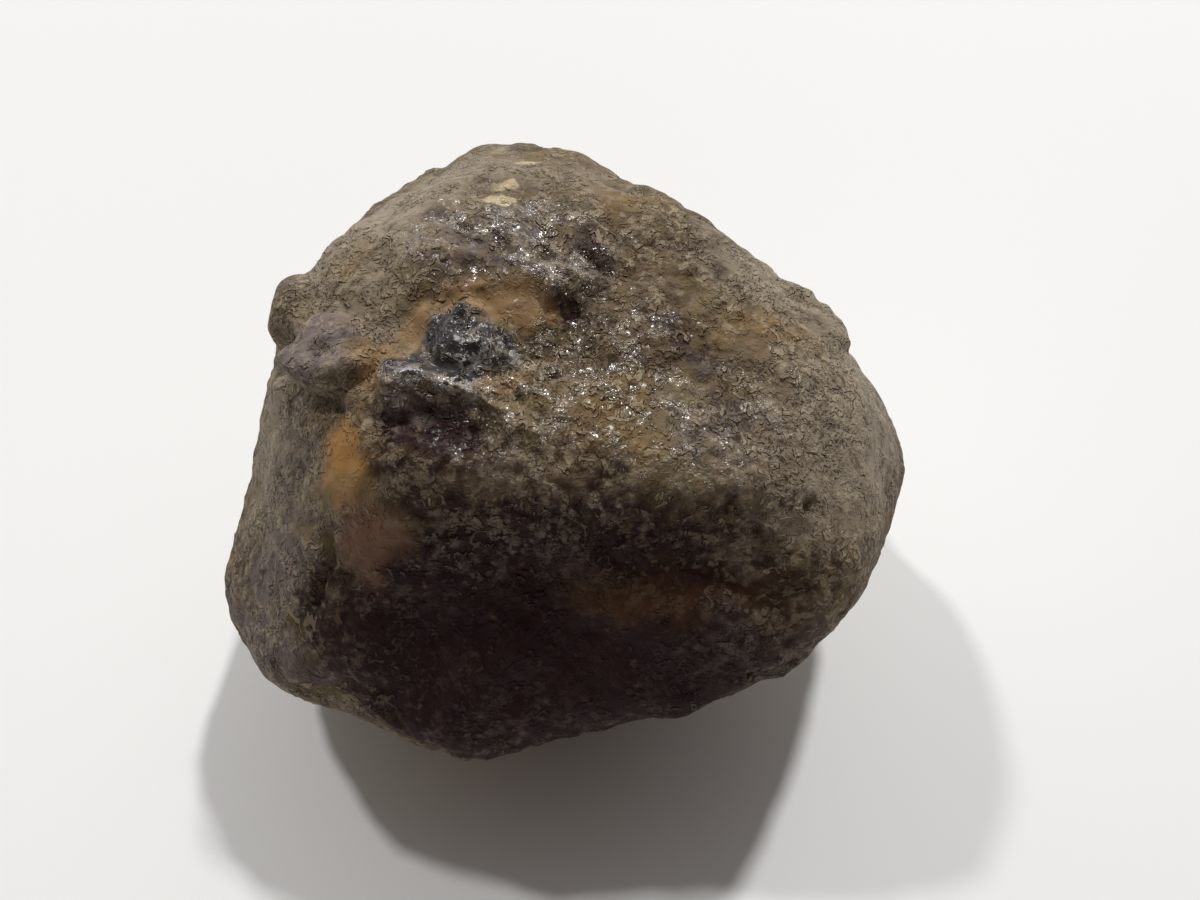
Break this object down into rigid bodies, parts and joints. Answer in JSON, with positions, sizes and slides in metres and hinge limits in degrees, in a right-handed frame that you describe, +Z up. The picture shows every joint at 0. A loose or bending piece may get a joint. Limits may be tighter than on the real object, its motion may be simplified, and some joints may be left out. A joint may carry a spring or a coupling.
{
  "type": "chondrite meteorite",
  "caption": "Weathered stony meteorite with a worn grey-brown crust, a lumpy cap and a dark raised ridge, lying on its flattest side.",
  "frame": {"origin": "centre of the bounding box in X and Y, at the height of the face that the stone rests on", "axes": "+X along the stone's length, to the right in the picture; +Y away from the picture's viewer; +Z up"},
  "size_m": [0.088, 0.078, 0.0651],
  "materials": {
    "crust": "rough weathered crust, grey-brown with olive and orange-brown stains"
  },
  "bodies": {
    "root": {"meteorite": "crust"}
  },
  "joints": []
}
